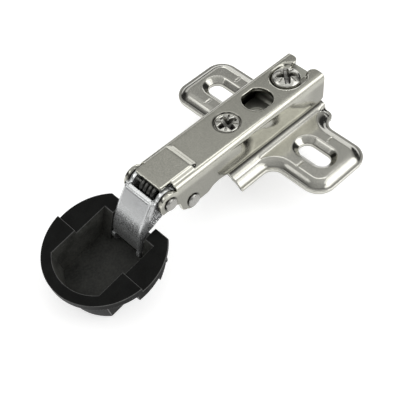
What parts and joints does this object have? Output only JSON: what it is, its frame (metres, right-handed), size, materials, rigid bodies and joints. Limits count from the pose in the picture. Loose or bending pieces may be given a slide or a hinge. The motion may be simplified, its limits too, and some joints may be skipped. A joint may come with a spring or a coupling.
{
  "type": "glass door hinge",
  "caption": "Concealed cup hinge for a glass cabinet door: steel arm on a slotted cross plate, two links and a closing spring carrying a black stepped cup.",
  "frame": {"origin": "midway between the two fixing slots, on the underside of the mounting plate", "axes": "+X along the arm towards the cup, +Y across the arm along the wings, +Z away from the cabinet wall"},
  "size_m": [0.0843, 0.0522, 0.0232],
  "materials": {
    "plated_steel": "satin nickel plating on pressed steel",
    "screw_steel": "bright nickel plating",
    "pin_steel": "drawn and riveted steel",
    "link_steel": "bright nickel plating on pressed steel",
    "spring_steel": "oil-blackened spring wire",
    "cup_plastic": "black moulded plastic, satin with a grained floor"
  },
  "bodies": {
    "plate": {"mounting_plate": "plated_steel"},
    "clamp_screw": {"clamp_screw": "screw_steel"},
    "arm": {"hinge_arm": "plated_steel", "front_arm_pin": "pin_steel", "rear_arm_pin": "pin_steel", "closing_spring": "spring_steel"},
    "side_screw": {"side_adjust_screw": "screw_steel"},
    "outer_link": {"outer_link": "link_steel"},
    "inner_link": {"inner_link": "link_steel"},
    "cup": {"hinge_cup": "cup_plastic", "lower_cup_pin": "pin_steel", "upper_cup_pin": "pin_steel"}
  },
  "joints": [
    {"name": "depth_slide", "type": "slide", "parent": "plate", "child": "arm", "axis": [1, 0, 0], "range_m": [-0.0005, 0.002]},
    {"name": "clamp_turn", "type": "hinge", "parent": "plate", "child": "clamp_screw", "pos_m": [-0.0069, 0, 0.01], "axis": [0, 0, 1], "continuous": true},
    {"name": "side_turn", "type": "hinge", "parent": "arm", "child": "side_screw", "pos_m": [0.0142, 0, 0.01], "axis": [0, 0, 1], "continuous": true},
    {"name": "outer_swing", "type": "hinge", "parent": "arm", "child": "outer_link", "pos_m": [0.0391, 0, 0.0088], "axis": [0, -1, 0], "range_deg": [-8.8, 0], "deforming": ["closing_spring"]},
    {"name": "inner_swing", "type": "hinge", "parent": "arm", "child": "inner_link", "pos_m": [0.0323, 0, 0.0044], "axis": [0, -1, 0], "range_deg": [-39.3, 0]},
    {"name": "cup_swing", "type": "hinge", "parent": "outer_link", "child": "cup", "pos_m": [0.04744, 0, -0.00305], "axis": [0, -1, 0], "range_deg": [0, 109.73]}
  ],
  "couplings": [
    {"joint": "outer_swing", "follows": "cup_swing", "ratio": -0.0801},
    {"joint": "inner_swing", "follows": "cup_swing", "ratio": -0.3581}
  ]
}
